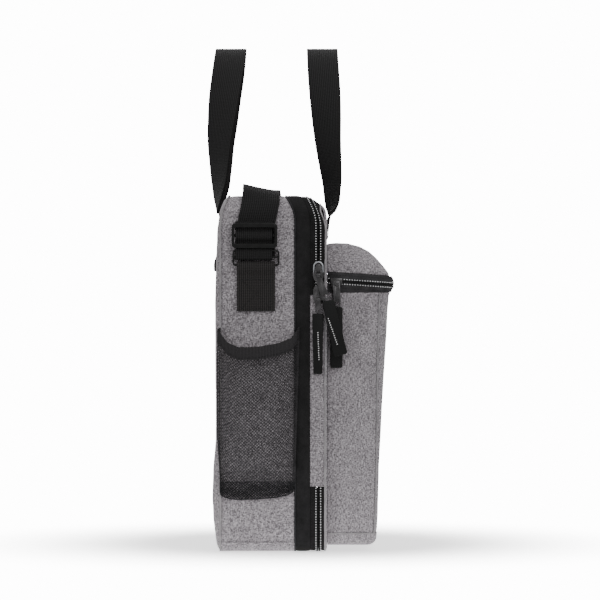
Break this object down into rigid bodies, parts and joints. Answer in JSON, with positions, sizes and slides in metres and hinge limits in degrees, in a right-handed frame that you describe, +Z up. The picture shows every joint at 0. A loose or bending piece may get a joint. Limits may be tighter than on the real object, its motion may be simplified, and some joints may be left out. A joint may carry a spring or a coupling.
{
  "type": "oxygen concentrator carrying bag",
  "caption": "Upright soft carrying bag for a portable oxygen concentrator, with a zipped front door, lidded front pocket, mesh side pockets, webbing handles and a strap over the top.",
  "frame": {"origin": "centre of the bag's overall box, on the ground under its base", "axes": "+Z up, -Y towards the front pocket, +Y towards the back panel, X across the bag with the door's fabric hinge at -X"},
  "size_m": [0.3056, 0.1888, 0.5131],
  "materials": {
    "heather": "heather grey woven polyester, matt",
    "heather_light": "heather grey woven polyester, matt",
    "webbing": "black ribbed webbing",
    "zip_tape": "black woven zip tape",
    "zip_coil": "silver grey coil",
    "mesh": "black open mesh",
    "lining": "dark smooth lining",
    "foam": "closed-cell foam",
    "board": "plain plastic board",
    "plastic": "black moulded plastic",
    "metal": "satin",
    "dark_metal": "dark painted",
    "puller": "soft black"
  },
  "bodies": {
    "shell": {"back_panel": "heather", "left_side_panel": "heather", "right_side_panel": "heather", "top_panel": "heather", "bottom_panel": "heather", "back_foam": "foam", "left_foam": "foam", "right_foam": "foam", "top_foam": "foam", "bottom_foam": "foam", "main_lining": "lining", "base_board": "board", "rear_band": "webbing", "rear_zip_tape": "zip_tape", "rear_zip_coil": "zip_coil", "hinge_strip": "heather_light", "left_mesh_pocket": "mesh", "left_mesh_hem": "webbing", "right_mesh_pocket": "mesh", "right_mesh_hem": "webbing", "carrying_strap": "webbing", "left_strap_anchor": "webbing", "right_strap_anchor": "webbing", "left_ring": "plastic", "right_ring": "plastic", "left_strap_tail": "webbing", "right_strap_tail": "webbing", "back_handle_end_left": "webbing", "back_handle_end_right": "webbing"},
    "door": {"door_panel": "heather", "door_foam": "foam", "door_lining": "lining", "front_zip_tape": "zip_tape", "front_zip_coil": "zip_coil", "pocket_left_panel": "heather", "pocket_right_panel": "heather", "pocket_front_panel": "heather", "pocket_bottom_panel": "heather", "pocket_lining": "lining", "pocket_lower_tape": "zip_tape", "pocket_lower_coil": "zip_coil", "front_handle_end_left": "webbing", "front_handle_end_right": "webbing"},
    "lid": {"lid_panel": "heather", "lid_tape": "zip_tape", "lid_coil": "zip_coil"},
    "back_handle": {"back_handle": "webbing"},
    "front_handle": {"front_handle": "webbing"},
    "upper_slider": {"upper_slider": "metal"},
    "upper_pull": {"upper_pull_plate": "dark_metal", "upper_puller": "puller"},
    "lower_slider": {"lower_slider": "metal"},
    "lower_pull": {"lower_pull_plate": "dark_metal", "lower_puller": "puller"},
    "pocket_slider": {"pocket_slider": "dark_metal"},
    "pocket_pull": {"pocket_pull_plate": "metal", "pocket_puller": "puller"},
    "left_adjuster": {"left_adjuster": "plastic"},
    "right_adjuster": {"right_adjuster": "plastic"}
  },
  "joints": [
    {"name": "door_hinge", "type": "hinge", "parent": "shell", "child": "door", "pos_m": [-0.1403, -0.01087, 0.16], "axis": [0, 0, -1], "range_deg": [0, 90], "deforming": ["hinge_strip"]},
    {"name": "lid_hinge", "type": "hinge", "parent": "door", "child": "lid", "pos_m": [0, -0.02832, 0.3087], "axis": [-1, 0, 0], "range_deg": [0, 60]},
    {"name": "back_handle_flex", "type": "hinge", "parent": "shell", "child": "back_handle", "pos_m": [0, 0.08388, 0.34], "axis": [1, 0, 0], "range_deg": [-90, 8]},
    {"name": "front_handle_flex", "type": "hinge", "parent": "door", "child": "front_handle", "pos_m": [0, -0.03232, 0.34], "axis": [-1, 0, 0], "range_deg": [-12, 11]},
    {"name": "upper_slider_slide", "type": "slide", "parent": "door", "child": "upper_slider", "axis": [0, 0, 1], "range_m": [0, 0.045]},
    {"name": "lower_slider_slide", "type": "slide", "parent": "door", "child": "lower_slider", "axis": [0, 0, 1], "range_m": [0, 0.045]},
    {"name": "upper_pull_swing", "type": "hinge", "parent": "upper_slider", "child": "upper_pull", "pos_m": [-0.1464, -0.01902, 0.2765], "axis": [0, 1, 0], "range_deg": [0, 120]},
    {"name": "lower_pull_swing", "type": "hinge", "parent": "lower_slider", "child": "lower_pull", "pos_m": [-0.144, -0.01902, 0.2525], "axis": [0, 1, 0], "range_deg": [0, 12]},
    {"name": "pocket_slider_slide", "type": "slide", "parent": "door", "child": "pocket_slider", "axis": [0, -1, 0], "range_m": [0, 0.038]},
    {"name": "pocket_pull_swing", "type": "hinge", "parent": "pocket_slider", "child": "pocket_pull", "pos_m": [-0.134, -0.03722, 0.26796], "axis": [-1, 0, 0], "range_deg": [0, 40]},
    {"name": "left_adjuster_slide", "type": "slide", "parent": "shell", "child": "left_adjuster", "axis": [0, 0, 1], "range_m": [0, 0.012], "deforming": ["left_strap_tail"]},
    {"name": "right_adjuster_slide", "type": "slide", "parent": "shell", "child": "right_adjuster", "axis": [0, 0, 1], "range_m": [0, 0.012], "deforming": ["right_strap_tail"]}
  ],
  "couplings": [
    {"joint": "lower_slider_slide", "follows": "upper_slider_slide", "ratio": 1}
  ]
}
